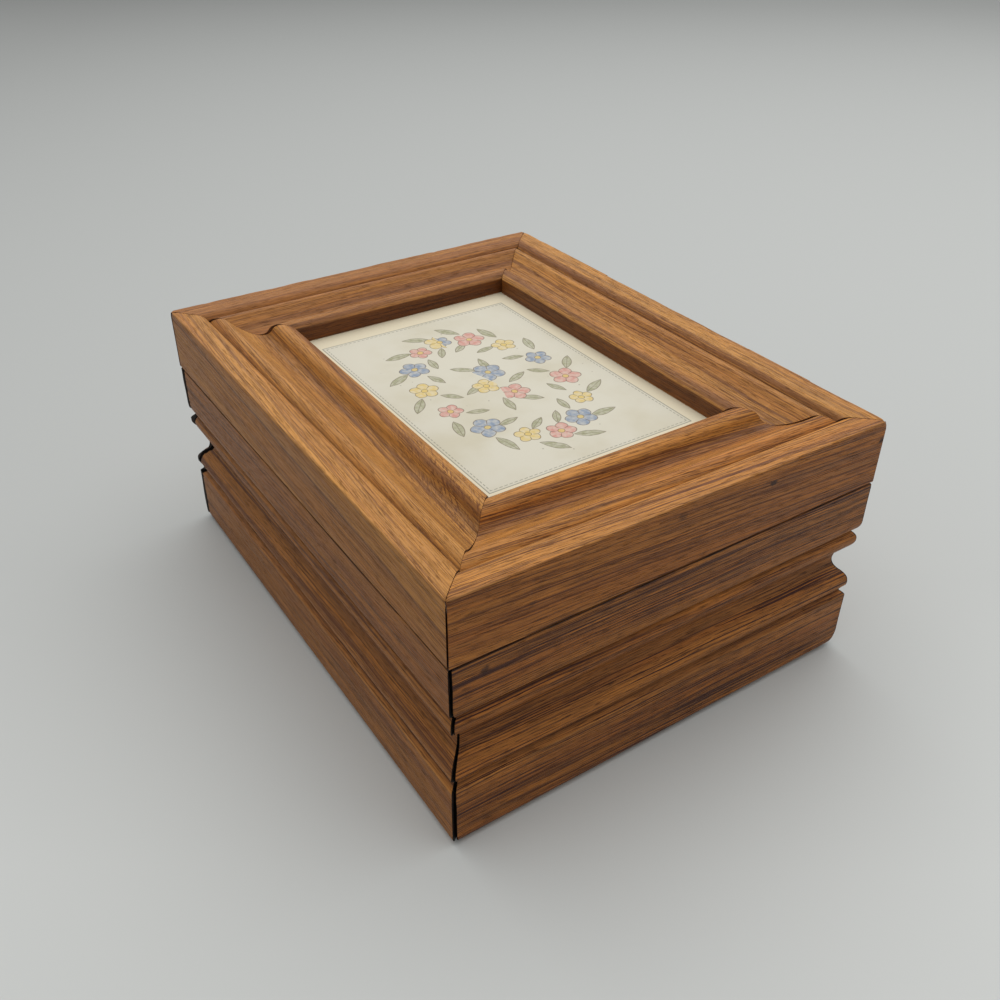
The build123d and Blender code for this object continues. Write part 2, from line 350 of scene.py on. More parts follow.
# %% Skin of a length
def skinned(name, points, rows, columns, girth):
    """Closed mesh over a grid of sections, with its two ends in the second material.

    Every face corner stores its girth. So the faces that close the round run on to the last
    value of girth, in place of jumping back to the first."""
    sides = grid_faces(rows, columns, closed_columns=True).tolist()
    caps = [list(range(columns)), list(range((rows - 1) * columns, rows * columns))[::-1]]
    made = mesh_object(name, points, sides + caps)
    ahead = np.stack([girth[:-1], girth[:-1], girth[1:], girth[1:]], -1)
    corners = [np.broadcast_to(ahead, (rows - 1, columns, 4)).ravel(), girth[:-1], girth[-2::-1]]
    give_value(made, "girth", np.concatenate(corners), per="CORNER")
    ends = np.zeros(len(made.data.polygons), np.int32)
    ends[-2:] = 1
    made.data.polygons.foreach_set("material_index", ends)
    return made


# %% One mitred length
# How far the chips, the rounded edge, the worn corner and the lumps of glue reach from the end.
chip_reach, edge_reach, corner_reach, lump_reach = 0.8, 0.35, 1.4, 2.5
corner_width = 1.2
# Beyond plain_dark, old glue lies only this far in from the outer face: on the rim, and elsewhere.
plain_dark, rim_glue, face_glue = 0.4, 2.5, 9.0


def mitred_length(name, outline, first, last, half_length, reach, turn, joint_corner,
                  notched=False, arris=0.12, corner=0.0, nicks=(), painted_shade=0.0):
    """A moulding along X with its outer face at y = -reach, turned about Z by turn degrees.

    First and last are the mitres at its two ends. There the surface is rounded by arris, the
    edge is ragged, and the very corner of the outer top arris is worn back by corner. The shade
    value says for each point of the section how much darker its colour is painted: painted shade
    on upright faces and in the sight opening. Joint_corner is the height of the outer corner where
    lid and box meet, and a notched length has mortises there."""
    line, normal, bend, hollow, girth = outline
    inward, height = line.real, line.imag
    half_length = min(half_length, max(first.toe, last.toe))
    breaks = (hinge_ends + [-mortise_clearance, mortise_clearance]).ravel() if notched else ()
    place = stations(half_length, breaks)[:, None]
    rows, columns = len(place), len(line)
    foot_height, top = height - height.min(), height.max()

    def by_end(value_of):
        """The value of the first mitre in one half of the length, of the last in the other."""
        return np.where(place < 0, value_of(first), value_of(last))

    end = by_end(lambda mitre: mitre_line(inward, foot_height, mitre, half_length))
    outward = np.where(height > top - 0.5, 1 - inward / rim_glue, (face_glue - inward) / 2)
    dark = by_end(lambda mitre: mitre.dark)
    dark = np.minimum(dark, plain_dark) + np.maximum(dark - plain_dark, 0) * np.clip(outward, 0, 1)

    along = stretched_to_mitre(place, half_length, end)
    to_end = end - np.abs(along)
    jagged = by_end(lambda mitre: mitre.ragged * smooth_noise(columns, 4))
    chipped = np.exp(-to_end / chip_reach) * jagged

    def close(reach):
        """1 at the end, falling to 0 at reach from it."""
        return np.clip(1 - to_end / reach, 0, 1)

    at_corner = np.exp(-(np.abs(line - 1j * top) / corner_width) ** 2)
    rounding = arris * close(edge_reach) ** 2 + corner * at_corner * close(corner_reach) ** 2
    rounding = rounding + knocks(place[:, 0], line, nicks, top)
    lumps = by_end(lambda mitre: mitre.lumpy) * smooth_noise(columns, 2)
    rounding = rounding + lumps * close(lump_reach)
    section = line[None, :] - normal[None, :] * rounding
    if notched:
        section = np.where(inside_mortise(place), let_in(line, joint_corner), section)
    x = along - np.sign(along) * chipped
    points = np.stack([x, section.real - reach, section.imag], -1).reshape(-1, 3)

    angle = math.radians(turn)
    spin = np.array([[math.cos(angle), math.sin(angle)], [-math.sin(angle), math.cos(angle)]])
    points[:, :2] = points[:, :2] @ spin
    made = skinned(name, points, rows, columns, girth)
    to_joint = np.abs(line - (0.1 + 1j * joint_corner))
    values = {"bend": bend, "hollow": hollow, "to_end": to_end / dark, "painted_shade": painted_shade,
              "to_joint": to_joint}
    for value, numbers in values.items():
        give_value(made, value, np.broadcast_to(numbers, (rows, columns)))
    return made


# %% [markdown]
# ## Mortises
#
# A butt hinge is let into the wood, so that lid and box close without a gap. Cutting with a solid
# would leave ragged faces in the mesh. Here the section itself changes between two stations: its
# corner becomes a step, and the rows of faces stay clean.

# %% Mortises for the hinge leaves
def inside_mortise(place):
    """True for the rows between the first and the last of each mortise's doubled ends."""
    inside = np.zeros(place.shape, bool)
    for start, finish in hinge_ends + [-mortise_clearance, mortise_clearance]:
        rows = np.flatnonzero((place > start - 1e-6) & (place < finish + 1e-6))
        inside[rows[1:-1]] = True
    return inside


def let_in(line, corner_height):
    """The section with a step cut for a hinge leaf at the outer corner at corner_height.

    The points round that corner are as far along the step as they were along the corner,
    since both ways are as long: q = (leaf_depth - inward) + up."""
    inward, up = line.real, line.imag - corner_height
    way = leaf_depth - inward + np.abs(up)
    step_up = np.clip(way, 0, leaf_rise) * np.sign(up.mean())
    step_in = leaf_depth - np.clip(way - leaf_rise, 0, leaf_depth)
    taken = (inward < leaf_depth) & (np.abs(up) < leaf_rise)
    return np.where(taken, step_in + 1j * (corner_height + step_up), line)


# %% [markdown]
# ## The eight lengths
#
# Four rails make the lid and four sides the box. No two corners of the real one are alike:
# one mitre has opened toward the foot, one end is dark and crumbly with old glue, and the rails of
# the lid are a little out of line. So each end has values of its own, in place of one corner that
# is mirrored four times.

# %% The eight lengths
lid_step, box_step = 0.65, 0.9
flush = 0.05
rails = {}
lengths = {"front": 0, "back": 180, "left": -90, "right": 90}
arris_nicks = {"right": [(-54, 0.7, 0.9), (-34, 0.6, 0.8), (-27, 0.5, 0.6), (-12, 0.5, 0.7),
                         (-3, 0.45, 0.6), (21, 0.6, 1.0), (37, 0.6, 0.7), (50, 0.7, 0.8)],
               "left": [(-30, 0.3, 0.8)], "back": [(41, 0.35, 0.8)], "front": [(12, 0.2, 0.7)]}

line, normal, bend, hollow, girth = lid_outline
# Painted shade: the lid's outer face is marked to be painted darker.
outer_face_shade = np.clip((0.5 - line.real) / 0.4, 0, 1)
# Painted shade: the wall of the sight opening is marked to be painted much darker.
opening_wall_shade = 1.0 * ((line.real > rail_width - 0.25) & (line.imag > card_level - 0.5))
raised = line.real + 1j * (lid_foot + np.maximum(line.imag, flush))
raised_outline = raised, normal, bend, hollow, girth

for side, turn in lengths.items():
    across = side in ("front", "back")
    half_length, reach = (half_width, half_depth) if across else (half_depth, half_width)
    lid_end = Mitre(half_length - lid_step if across else half_length + lid_step, dark=0.1,
                    gap=0.04, ragged=0.03)
    box_toe = half_length - box_step if across else half_length + box_step
    first = last = Mitre(box_toe, gap=0.5, dark=0.45, worn_foot=1.0)
    if side == "front":
        first = Mitre(box_toe, gap=0.3, dark=3.0, ragged=1.2, lumpy=0.9)
        last = Mitre(half_length, gap=0.1, dark=0.25)
    if side == "right":
        first = Mitre(half_length, gap=0.4, dark=0.35, foot_gap=0.45)
        last = Mitre(box_toe, gap=0.4, dark=0.5, worn_foot=6.5)
    if side == "left":
        last = Mitre(box_toe, gap=0.3, dark=1.7, lumpy=1.2)
    # The lid's outer faces get painted shade, a little more on the right, and the sight opening's
    # wall gets it in full.
    lid_painted_shade = (0.45 if side == "right" else 0.35) * outer_face_shade + opening_wall_shade
    lid_first = lid_end._replace(dark=0.5) if side == "front" else lid_end
    placed = dict(half_length=half_length, reach=reach, turn=turn, notched=side == "back")
    rails[f"lid_{side}_rail"] = mitred_length(
        f"lid_{side}_moulding", raised_outline, lid_first, lid_end, joint_corner=lid_foot,
        arris=0.03, corner=0.7, nicks=arris_nicks[side], painted_shade=lid_painted_shade, **placed)
    # The box sides are painted darker all over: painted shade on upright faces.
    rails[f"box_{side}_side"] = mitred_length(
        f"box_{side}_moulding", side_outline, first, last, joint_corner=box_rim, painted_shade=0.55,
        **placed)

for node, piece in rails.items():
    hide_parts(node)
    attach(piece, "lid" if node.startswith("lid") else "box")
    print(piece.name, len(piece.data.vertices), "points")

# %% [markdown]
# ## Finishes as node trees
#
# A finish is a small tree of shader nodes. Short helpers keep the trees readable: they add a
# node, do a sum, or mix two colours, and a new node finds its tree by way of its inputs. Colours
# are noted the way a paint program shows them, from 0 to 255, and turned into the linear light
# that the renderer works in.

# %% Node helpers
def node(kind, inputs=(), tree=None, **settings):
    """A shader node: settings are its properties, inputs its sockets by name or number.

    It joins the tree of the first socket among its inputs, unless it is told its tree."""
    inputs = dict(inputs)
    sockets = [value for value in inputs.values() if isinstance(value, bpy.types.NodeSocket)]
    tree = sockets[0].id_data if tree is None else tree
    made = tree.nodes.new("ShaderNode" + kind)
    for name, value in settings.items():
        setattr(made, name, value)
    for key, value in inputs.items():
        if isinstance(value, bpy.types.NodeSocket):
            tree.links.new(value, made.inputs[key])
        else:
            made.inputs[key].default_value = value
    return made


def calc(operation, *values):
    """The result of one Math node."""
    return node("Math", enumerate(values), operation=operation).outputs[0]


def times(*values):
    """The product of two or more values."""
    result = values[0]
    for value in values[1:]:
        result = calc("MULTIPLY", result, value)
    return result


def scaled(value, factor, added):
    """The value times a factor, plus what is added."""
    return calc("MULTIPLY_ADD", value, factor, added)


def steer(operation, *values):
    """The vector result of one Vector Math node."""
    return node("VectorMath", enumerate(values), operation=operation).outputs[0]


def measure(operation, *values):
    """The number that comes from one Vector Math node, such as a length."""
    return node("VectorMath", enumerate(values), operation=operation).outputs["Value"]


# %% Mixes, steps and colours
def mixed(share, under, over, way="MIX"):
    """Two colours mixed: none of the second at share 0, all of it at share 1."""
    made = node("Mix", {0: share, 6: under, 7: over}, data_type="RGBA", blend_type=way)
    return made.outputs[2]


def ramp(value, start, finish, first, last, **settings):
    """From first, where the value is start or less, to last, where it is finish or more."""
    return node("MapRange", enumerate((value, start, finish, first, last)), **settings).outputs[0]


def step(value, start, finish):
    """Smooth step from 0 at start to 1 at finish. Start may be the larger one."""
    if start < finish:
        return ramp(value, start, finish, 0.0, 1.0, interpolation_type="SMOOTHSTEP")
    return ramp(value, finish, start, 1.0, 0.0, interpolation_type="SMOOTHSTEP")


def screen(red, green, blue):
    """A colour noted from 0 to 255, as linear light: about (value / 255) to the power 2.2."""
    share = np.array([red, green, blue]) / 255
    linear = np.where(share < 0.04045, share / 12.92, ((share + 0.055) / 1.055) ** 2.4)
    return (*linear.tolist(), 1.0)


# %% A new finish
def new_finish(name):
    """An empty material with its shader and the places on the object in millimetres."""
    finish = bpy.data.materials.new(name)
    finish.use_nodes = True
    shader = finish.node_tree.nodes["Principled BSDF"]
    metres = node("TexCoord", tree=finish.node_tree).outputs["Object"]
    scale = node("VectorMath", {0: metres, 3: 1 / MM}, operation="SCALE")
    return finish, shader, scale.outputs[0]


def dress(shader, colour, roughness, height, relief, strength=0.7):
    """Gives the shader its colour and roughness, and a relief of so many mm from the height."""
    bump = node("Bump", {"Height": height, "Distance": relief * MM, "Strength": strength})
    links = shader.id_data.links
    links.new(colour, shader.inputs["Base Color"])
    links.new(roughness, shader.inputs["Roughness"])
    links.new(bump.outputs[0], shader.inputs["Normal"])


# %% [markdown]
# ## Open grained wood
#
# The real lengths were cut from straight grained boards, so fine streaks run along every face,
# over bead and cove alike. A solid figure of rings would smear wherever a ring lies flat in the
# surface. The streaks are laid over the unrolled section instead: one coordinate is the way
# along the length, the other the girth, the way round the section, both in millimetres.

# %% Streaks along the grain
def streaks(place, length, width, seed=0.0, detail=2.0):
    """Noise with marks about length mm long and width mm wide, along the first axis."""
    drawn_out = steer("MULTIPLY", place, (1 / length, 1 / width, 1 / width))
    moved = steer("ADD", drawn_out, (seed, 2.7 * seed, -1.9 * seed))
    inputs = {"Vector": moved, "Scale": 1.0, "Detail": detail, "Roughness": 0.5}
    return node("TexNoise", inputs).outputs[0]


def attribute(tree, name):
    """A value stored on the mesh."""
    return node("Attribute", tree=tree, attribute_name=name).outputs["Fac"]


def unrolled(here, lengthwise, plank, slope):
    """Places on the unrolled section: (along, girth, plank), all in mm.

    Grain is never quite parallel to the edges: girth is shifted by slope times the way along,
    and by a millimetre or so of slow sway."""
    along = node("SeparateXYZ", {0: here}).outputs[lengthwise]
    girth = attribute(here.id_data, "girth")
    flat = node("CombineXYZ", {0: along, 1: girth, 2: plank}).outputs[0]
    sway = calc("SUBTRACT", streaks(flat, 60, 40, seed=3.1), 0.5)
    shifted = scaled(sway, 2.5, scaled(along, slope, girth))
    return node("CombineXYZ", {0: along, 1: shifted, 2: plank}).outputs[0]


# %% [markdown]
# ## Colours of the wood
#
# Under its varnish the wood runs from honey to amber, with brown veins, and with glue that is
# almost black in the joints. A picture of wood could be wrapped round the lengths, but it would
# bring its own light along. A few named colours, mixed by noise, stay right under any lamp.

# %% Colours of the wood
honey = screen(193, 134, 61)
amber = screen(180, 119, 51)
brown_vein = screen(104, 57, 24)
pore_brown = screen(60, 31, 14)
# Colour of the dust and painted shade in the hollows.
dust_and_shade_brown = screen(84, 48, 22)
# Tint of the painted shade on upright faces and in the sight opening.
shade_tint = screen(164, 140, 112)
glue_black = screen(14, 10, 7)
# Colour of painted shade and grime along the seam between lid and box.
joint_shade_brown = screen(36, 19, 10)
worn_arris = screen(204, 150, 84)
print("honey in linear light:", honey)


def spread(noise, low=0.3, high=0.7):
    """Noise stays near its middle, so it is spread out to the whole way from 0 to 1."""
    return step(noise, low, high)


def toned(colour, share, low, high):
    """The colour made darker or lighter: times low at share 0, times high at share 1."""
    tone = scaled(share, high - low, low)
    grey = node("CombineColor", {0: tone, 1: tone, 2: tone}).outputs[0]
    return mixed(1.0, colour, grey, way="MULTIPLY")


def hump(value, middle, width):
    """1 where the value is at the middle, falling to 0 at width from it."""
    off = calc("ABSOLUTE", calc("SUBTRACT", value, middle))
    return step(off, width, 0.0)


def girth_over(outline, inward, drop=8.0):
    """The girth at which the top of a section lies this far in from the outer face."""
    line, girth = outline[0], outline[4][:-1]
    top = line.imag > line.imag.max() - drop
    return float(np.interp(inward, line.real[top][:-4], girth[top][:-4]))


# %% [markdown]
# ## Dark figure
#
# The veins of this wood lie in groups: a few dark lines close together, then plain wood. One noise
# makes the lines, and a second, much wider one lowers their threshold where they crowd. At one end
# of the front rail the fibres turn, and a cutter leaves short marks there that lie askew.

# %% Dark figure
def dark_lines(place, near):
    """Fine dark lines in groups, and closer together where near is high."""
    long = streaks(place, 60, 0.34, seed=4.4)
    short = streaks(place, 16, 0.24, seed=11.3)
    group = spread(streaks(place, 110, 3.2, seed=5.5), 0.4, 0.62)
    crowd = scaled(near, 0.15, times(group, 0.06))
    long = step(calc("ADD", long, crowd), 0.58, 0.65)
    short = step(calc("ADD", short, crowd), 0.6, 0.66)
    return calc("MAXIMUM", long, times(short, 0.7))


def curly(place, along):
    """Short soft dashes askew to the grain, as a cutter leaves where the fibres turn."""
    askew = node("VectorRotate", {"Vector": place, "Angle": 0.4}, rotation_type="Z_AXIS")
    dash = step(streaks(askew.outputs[0], 2.4, 0.36, seed=1.3, detail=3.0), 0.51, 0.61)
    patch = step(streaks(place, 14.0, 2.6, seed=6.1, detail=3.0), 0.35, 0.53)
    return times(dash, patch, step(along, -5.0, 50.0))


def knot(here, uneven, middle, size):
    """A small dark spot with a star-like rim, drawn out a little along the face."""
    off = steer("MULTIPLY", steer("SUBTRACT", here, middle), (1.0, 0.7, 1.0))
    apart = scaled(uneven, -1.1 * size, measure("LENGTH", off))
    return step(apart, 0.5 * size, -0.3 * size)


# %% [markdown]
# ## The wood of one length
#
# A finish for wood is built up as a polisher would see it: the ground colour, streaks, veins and
# pores, then painted shade on upright faces and in the sight opening, worn edges, dust and painted
# shade in the hollows, painted shade and grime along the seam between lid and box, and glue at the
# ends. One material for all eight lengths would be shorter, but the lengths of a real frame come
# from different boards, so a function makes a finish for each.

# %% The wood of one length
def timber(name, lengthwise, plank, lines=0.7, pores=0.5, slope=0.01, curl=None, joint_shade_width=0.1,
           cut=glue_black, painted_shade=shade_tint, tone=(255, 255, 255), vein=brown_vein, contrast=1.0,
           spots=(), bands=()):
    """Straight grained wood along X or Y, with its own part of the plank.

    Spots are (place, size, depth). Bands are dark stripes, figure that on the back and left rails
    of the lid is painted shade as well: (girth, width, depth).
    Curl is where the fibres turn: (strength, girth, width)."""
    finish, shader, here = new_finish(name)
    place = unrolled(here, lengthwise, plank, slope)
    shade_share, bend, hollow, from_joint, from_end = (
        attribute(here.id_data, value) for value in ("painted_shade", "bend", "hollow", "to_joint", "to_end"))
    along, across, _ = node("SeparateXYZ", {0: place}).outputs

    near = 0.0
    for middle, width, depth in bands:
        near = scaled(hump(across, middle, width), depth, near)
    broad = spread(streaks(place, 260, 5, seed=1.7), 0.36, 0.66)
    stripe = spread(streaks(place, 120, 1.3, seed=7.9), 0.34, 0.66)
    fibre = spread(streaks(place, 70, 0.38, seed=8.2, detail=3.0), 0.34, 0.66)
    thread = spread(streaks(place, 18, 0.2, seed=2.6), 0.36, 0.64)
    cloud = spread(streaks(place, 16, 3.0, seed=9.7, detail=3.0), 0.34, 0.68)
    line = dark_lines(place, near)
    pore = step(streaks(place, 5, 0.17, seed=6.6, detail=1.0), 0.59, 0.66)

    colour = mixed(broad, honey, amber)
    for share, darker, lighter in ((stripe, 0.07, 0.05), (fibre, 0.15, 0.12), (cloud, 0.07, 0.05)):
        colour = toned(colour, share, 1 - darker * contrast, 1 + lighter * contrast)
    colour = toned(colour, thread, 0.93, 1.06)
    # Dark stripes: figure, and on the back and left rails painted shade.
    if bands:
        colour = mixed(times(near, 0.22), colour, vein)
    colour = mixed(times(line, lines), colour, vein)
    colour = mixed(times(pore, pores), colour, pore_brown)
    if curl:
        strength, middle, width = curl
        turned_fibres = times(curly(place, along), strength, hump(across, middle, width))
        colour = mixed(turned_fibres, colour, brown_vein)
    uneven = streaks(here, 1.1, 1.1, seed=0.7, detail=3.0)
    for middle, size, depth in spots:
        colour = mixed(times(knot(here, uneven, middle, size), depth), colour, pore_brown)

    colour = mixed(1.0, colour, screen(*tone), way="MULTIPLY")
    # Painted shade on upright faces and in the sight opening.
    colour = mixed(shade_share, colour, painted_shade, way="MULTIPLY")
    rub = times(step(bend, 0.5, 1.6), fibre, 0.35, step(from_joint, 1.5, 3.0))
    colour = mixed(rub, colour, worn_arris)
    # Dust and painted shade in the hollows.
    dust_and_shade_in_hollows = times(step(hollow, 0.02, 0.5), scaled(fibre, -0.3, 0.62))
    colour = mixed(dust_and_shade_in_hollows, colour, dust_and_shade_brown)

    crumbly = streaks(place, 3.0, 2.0, seed=2.2, detail=3.0)
    # Painted shade and grime along the seam between lid and box.
    uneven_reach = spread(streaks(here, 12, 12, seed=5.9, detail=4.0))
    joint_shade = scaled(uneven_reach, -2.0 * joint_shade_width, from_joint)
    colour = mixed(step(joint_shade, 0.3, 0.05), colour, joint_shade_brown)
    glued = step(scaled(crumbly, -1.1, from_end), 0.4, 0.2)
    colour = mixed(glued, colour, cut)

    rough = scaled(pore, 0.25, scaled(fibre, 0.14, 0.4))
    rough = calc("MAXIMUM", rough, times(glued, 0.95))
    height = scaled(line, -0.5, scaled(pore, -1.0, times(thread, 0.3)))
    dress(shader, colour, rough, height, relief=0.09, strength=0.8)
    shine = scaled(glued, -0.27, 0.3)
    shader.id_data.links.new(shine, shader.inputs["Specular IOR Level"])
    return finish


# %% [markdown]
# ## Sawn ends
#
# Where a mitre stands open, the end of the grain shows. It drinks in glue and varnish and is much
# darker than the face, with the pores as dots. It gets a small material of its own, because streaks
# along the length would be wrong across a cut.

# %% Sawn ends
def sawn_end(name, dark, light):
    """End grain in a mitre: dark with old glue and varnish, with the pores as dots."""
    finish, shader, place = new_finish(name)
    dots = streaks(place, 0.35, 0.35, seed=1.1)
    patches = streaks(place, 3.0, 3.0, seed=9.4)
    colour = mixed(step(patches, 0.4, 0.62), dark, light)
    colour = mixed(step(dots, 0.5, 0.62), colour, screen(24, 16, 11))
    dress(shader, colour, scaled(dots, 0.3, 0.5), dots, relief=0.1)
    return finish


# %% [markdown]
# ## Eight pieces of the plank
#
# Each length takes its own part of one endless plank, by a shift of 37 mm, and its own share of
# lines, slope and painted shade. The dark stripes are placed by their distance in from the outer
# face, or by their height on the side, where they lie on the real object. On the back and left
# rails of the lid they lie on slopes turned away from the lamp, and are painted shade as well as
# dark figure.

# %% Eight pieces of the plank
end_grain = {"lid": sawn_end("lid_sawn_end", screen(70, 40, 20), screen(104, 64, 34)),
             "box": sawn_end("box_sawn_end", glue_black, screen(58, 36, 21))}
lid_cut = dict(cut=screen(70, 36, 16))
# Painted shade: the faces on the right are multiplied by this darker tint.
right_side_shade_tint = screen(174, 134, 92)
red_vein = screen(76, 34, 13)


def lid_band_at(inward, width, depth):
    """A dark stripe on a lid rail, placed by its distance in from the outer face.

    On the back and left rails it is painted shade as well as figure.
    """
    return girth_over(lid_outline, inward), width, depth


def box_band_at(height, width, depth):
    """A stripe of figure on the flat outer faces of a box side, placed by its height."""
    line, girth = side_outline[0], side_outline[4][:-1]
    outer = np.flatnonzero(line.real < 1.0)
    order = outer[np.argsort(line.imag[outer])]
    return float(np.interp(height, line.imag[order], girth[order])), width, depth


curl_girth = girth_over(lid_outline, 27.0)
characters = {
    "lid_front_rail": dict(lid_cut, lines=0.6, pores=0.4, curl=(0.95, curl_girth, 10.0),
                           slope=0.05, contrast=0.7, joint_shade_width=0.0,
                           bands=[lid_band_at(27.2, 2.4, 1.0), lid_band_at(22.0, 1.6, 0.4),
                                  (13.6, 0.8, 1.6)]),
    "lid_right_rail": dict(lid_cut, lines=0.8, pores=0.6, slope=0.055, painted_shade=right_side_shade_tint,
                           contrast=1.15, tone=(254, 244, 226), vein=screen(84, 38, 14),
                           bands=[lid_band_at(24.5, 1.8, 0.5), lid_band_at(15.5, 1.2, 0.25),
                                  (16.0, 2.6, 0.3), (6.0, 3.0, 0.3)],
                           spots=[((half_width, 27.9, 77.1), 1.2, 0.95),
                                  ((half_width, -3.7, 78.4), 1.6, 0.55),
                                  ((half_width, -48.3, 71.5), 1.0, 0.5),
                                  ((half_width, 70.3, 76.3), 1.3, 0.95)]),
    # On the back and left rails the dark stripes lie on slopes turned away from the lamp: dark figure
    # and painted shade.
    "lid_back_rail": dict(lid_cut, lines=0.7, slope=-0.004, bands=[
        lid_band_at(8.3, 2.2, 1.0), lid_band_at(16.9, 1.6, 0.6), lid_band_at(29.3, 1.6, 1.0)]),
    "lid_left_rail": dict(lid_cut, lines=0.6, slope=0.008, tone=(232, 224, 224), bands=[
        lid_band_at(16.9, 2.0, 0.7), lid_band_at(30.0, 1.8, 0.9)]),
    "box_front_side": dict(lines=0.8, pores=0.5, slope=-0.01, joint_shade_width=0.0,
                           tone=(252, 245, 234), bands=[box_band_at(27.0, 2.5, 0.8)]),
    "box_right_side": dict(lines=1.0, pores=0.7, slope=0.02, joint_shade_width=0.05, painted_shade=right_side_shade_tint,
                           contrast=1.7, tone=(255, 248, 226), vein=red_vein,
                           bands=[box_band_at(57.5, 4.5, 0.4), box_band_at(8.0, 5.0, 0.3)],
                           spots=[((half_width, -61.3, 57.4), 1.5, 0.8)]),
    "box_back_side": dict(lines=0.8), "box_left_side": dict(lines=0.8),
}
for number, (node_name, piece) in enumerate(rails.items()):
    body, side = node_name.split("_")[:2]
    lengthwise = 0 if side in ("front", "back") else 1
    piece.data.materials.append(timber(f"{piece.name}_wood", lengthwise, 37.0 * number,
                                       **characters[node_name]))
    piece.data.materials.append(end_grain[body])
print(len(rails), "woods, one for each length")

# %% [markdown]
# ## Flat sheets in the frame and the box
#
# The card, its backing and the two linings are flat sheets. A thin block with a bevel would do
# for each, but even a flat sheet has a slightly uneven face. So each is a pair of grids with their
# edge rows rolled over.

# %% A sheet with eased edges
def eased_sheet(name, node_name, edge=0.3, columns=60, rows=44, relief=0.0, softness=6):
    """Two grids, top and bottom, that fill a node's box and roll over at their edges.

    At a distance t from the rim, closer than edge, the face drops by
    edge - sqrt(edge^2 - (edge - t)^2). The top also sinks by up to relief, at random."""
    lowest, highest = (np.array(corner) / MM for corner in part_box(node_name))
    rolled = edge * (1 - np.cos(np.linspace(0, np.pi / 2, 5)))

    def places(first, last, count):
        inner = np.linspace(first + edge, last - edge, count)
        return np.r_[first + rolled[:-1], inner, last - rolled[:-1][::-1]]

    x, y = np.meshgrid(places(lowest[0], highest[0], columns), places(lowest[1], highest[1], rows))
    to_rim = np.minimum.reduce([x - lowest[0], highest[0] - x, y - lowest[1], highest[1] - y])
    short = np.clip(edge - to_rim, 0, edge)
    drop = edge - np.sqrt(np.maximum(edge ** 2 - short ** 2, 0))
    rough = seeded.random(x.shape)
    waves = np.fft.rfft2(rough - 0.5)
    reach = np.hypot(*np.meshgrid(np.fft.fftfreq(x.shape[0]), np.fft.rfftfreq(x.shape[1]),
                                  indexing="ij"))
    soft = np.fft.irfft2(waves * np.exp(-(reach * softness) ** 2 * 8), x.shape)
    dip = relief * (soft - soft.min()) / (np.ptp(soft) + 1e-9) * (short == 0)
    top = np.stack([x, y, highest[2] - drop - dip], -1)
    bottom = np.stack([x, y, lowest[2] + drop], -1)
    tall, wide = x.shape
    top_faces = grid_faces(tall, wide)[:, ::-1]
    bottom_faces = grid_faces(tall, wide) + tall * wide
    index = np.arange(tall * wide).reshape(tall, wide)
    rim = np.r_[index[0, :-1], index[:-1, -1], index[-1, :0:-1], index[:0:-1, 0]]
    after = np.roll(rim, -1)
    wall = np.stack([rim, rim + tall * wide, after + tall * wide, after], -1)
    points = np.concatenate([top.reshape(-1, 3), bottom.reshape(-1, 3)])
    faces = np.concatenate([top_faces, bottom_faces, wall]).tolist()
    made = mesh_object(name, points, faces, smooth_angle=50.0)
    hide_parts(node_name)
    return made


# %% The card, its backing and the linings
card = eased_sheet("printed_card", "picture_card", edge=0.25, relief=0.06, softness=14)
backing = eased_sheet("card_backing", "picture_backing", edge=0.3)
lid_felt = eased_sheet("lid_felt", "lid_lining", edge=0.8, columns=200, rows=140, relief=0.12,
                       softness=2)
base_felt = eased_sheet("base_felt", "base_lining", edge=0.7, columns=220, rows=170, relief=0.12,
                        softness=2)
for piece, body, slot in ((card, "lid", "picture_print"), (backing, "lid", "hardboard"),
                          (lid_felt, "lid", "felt"), (base_felt, "box", "felt")):
    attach(piece, body)
    print(piece.name, len(piece.data.polygons), "faces")

# %% [markdown]
# ## The printed card
#
# Under the frame lies a small watercolour print on cream card: a wreath of simple flowers in
# rose, blue and straw with sage leaves, inside a ruled border. A print has no relief, so it is
# drawn by its material. One flower is a petal formula, r = R (0.7 + 0.3 |cos 2.5 a|), and the
# angle round the wreath is rounded to whole steps, which repeats the flower without copies.

# %% Drawing with nodes
ink = screen(112, 98, 82)
rose, faded_blue, straw = screen(201, 138, 128), screen(122, 139, 163), screen(212, 186, 112)
sage = screen(153, 153, 120)


def line_at(distance, width):
    """1 on a line of this width where the distance is 0."""
    return step(calc("ABSOLUTE", distance), 0.75 * width, 0.3 * width)


class Spot:
    """Places seen from the middle of the nearest of count motifs on an ellipse.

    The number of the motif is the angle on the ellipse, rounded to whole steps."""
    def __init__(self, x, y, wide, tall, count, phase=0.0):
        angle = calc("ARCTAN2", calc("DIVIDE", y, tall), calc("DIVIDE", x, wide))
        self.number = calc("ROUND", scaled(angle, count / (2 * math.pi), -phase))
        middle = times(calc("ADD", self.number, phase), 2 * math.pi / count)
        self.cos, self.sin = calc("COSINE", middle), calc("SINE", middle)
        self.x, self.y = scaled(self.cos, -wide, x), scaled(self.sin, -tall, y)

    def polar(self):
        """Distance and direction from the motif's middle."""
        squares = scaled(self.x, self.x, times(self.y, self.y))
        return calc("SQRT", squares), calc("ARCTAN2", self.y, self.x)

    def turned(self, tilt):
        """Places along and across the motif, which points outward plus a tilt in radians."""
        along = scaled(self.x, self.cos, times(self.y, self.sin))
        across = calc("SUBTRACT", times(self.y, self.cos), times(self.x, self.sin))
        u = scaled(across, math.sin(tilt), times(along, math.cos(tilt)))
        v = scaled(along, -math.sin(tilt), times(across, math.cos(tilt)))
        return u, v


